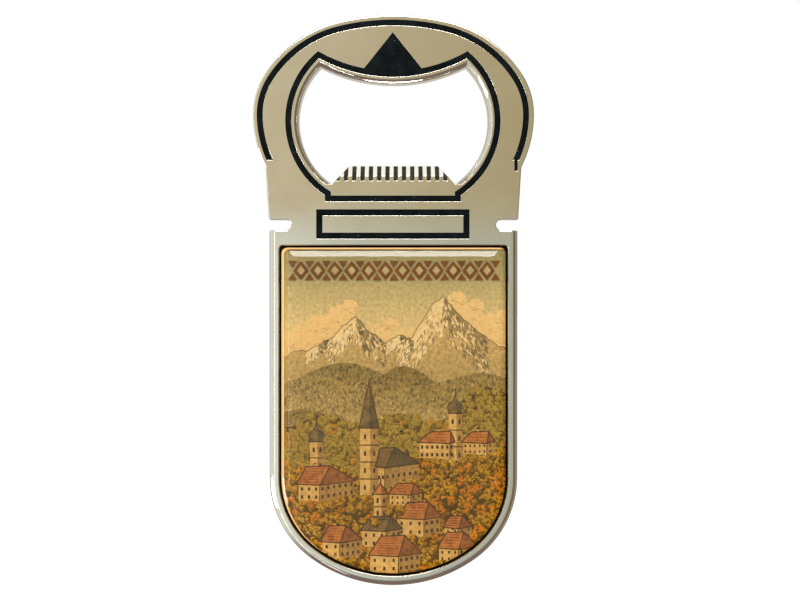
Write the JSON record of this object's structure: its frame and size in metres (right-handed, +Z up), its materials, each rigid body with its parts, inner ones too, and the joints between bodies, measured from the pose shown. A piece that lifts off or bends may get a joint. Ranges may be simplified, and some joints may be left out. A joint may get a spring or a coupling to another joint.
{
  "type": "souvenir bottle opener",
  "caption": "Flat die-cast bottle opener with a crown-cap mouth, a serrated tongue, black enamel lines, a domed printed landscape in the handle and a magnet sheet at the back.",
  "frame": {"origin": "middle of the magnet sheet's rear face, where the opener rests on a steel door", "axes": "+Z up along the opener's length towards the mouth, +X to the right seen from the front, the picture faces -Y and the magnet faces +Y"},
  "size_m": [0.0518, 0.0052, 0.105],
  "materials": {
    "plated_casting": "polished nickel plating with a warm tint, slightly uneven",
    "black_enamel": "glossy hard enamel",
    "adhesive_film": "matt translucent adhesive film",
    "printed_film": "vintage print in ochre, olive and brown inks",
    "clear_resin": "clear, glossy, domed resin",
    "magnet_rubber": "matt flexible magnet sheet"
  },
  "bodies": {
    "root": {"opener_body": "plated_casting", "enamel_head_arc": "black_enamel", "enamel_mouth_outline": "black_enamel", "enamel_nameplate_frame": "black_enamel", "picture_adhesive": "adhesive_film", "picture_print": "printed_film", "picture_dome": "clear_resin", "rear_magnet": "magnet_rubber", "magnet_adhesive": "adhesive_film"}
  },
  "joints": []
}
